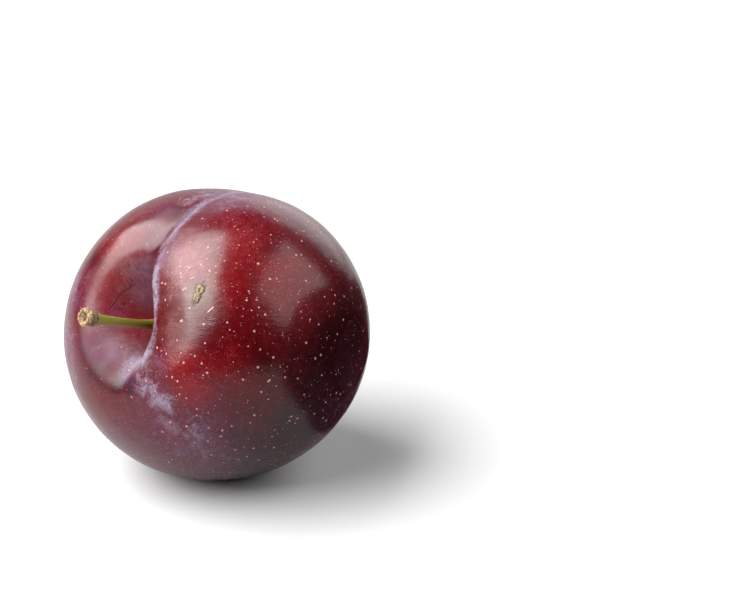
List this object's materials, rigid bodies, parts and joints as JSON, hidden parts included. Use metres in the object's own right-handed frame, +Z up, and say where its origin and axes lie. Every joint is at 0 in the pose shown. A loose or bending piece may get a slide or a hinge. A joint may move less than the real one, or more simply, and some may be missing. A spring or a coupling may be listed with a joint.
{
  "type": "plum",
  "caption": "Whole ripe plum with a seam between its two lobes, a deep hollow at the stalk end and the short stalk it was picked with, lying on a small flat spot.",
  "frame": {"origin": "middle of the footprint of fruit and stalk together, on the surface that the plum rests on", "axes": "+Z up, -X towards the stalk's tip, +Y to the lobe that slopes openly into the stalk's hollow, and -Y to the lobe whose lip stands over it"},
  "size_m": [0.0632, 0.0622, 0.0574],
  "materials": {
    "plum_skin": "dark burgundy waxy fruit skin, satin to glossy, with small pale dots, crimson patches and a thin dusty blue-white bloom",
    "stalk": "matte yellow-green fibrous stalk with a tan, cracked, corky end"
  },
  "bodies": {
    "root": {"fruit": "plum_skin", "stalk": "stalk"}
  },
  "joints": []
}
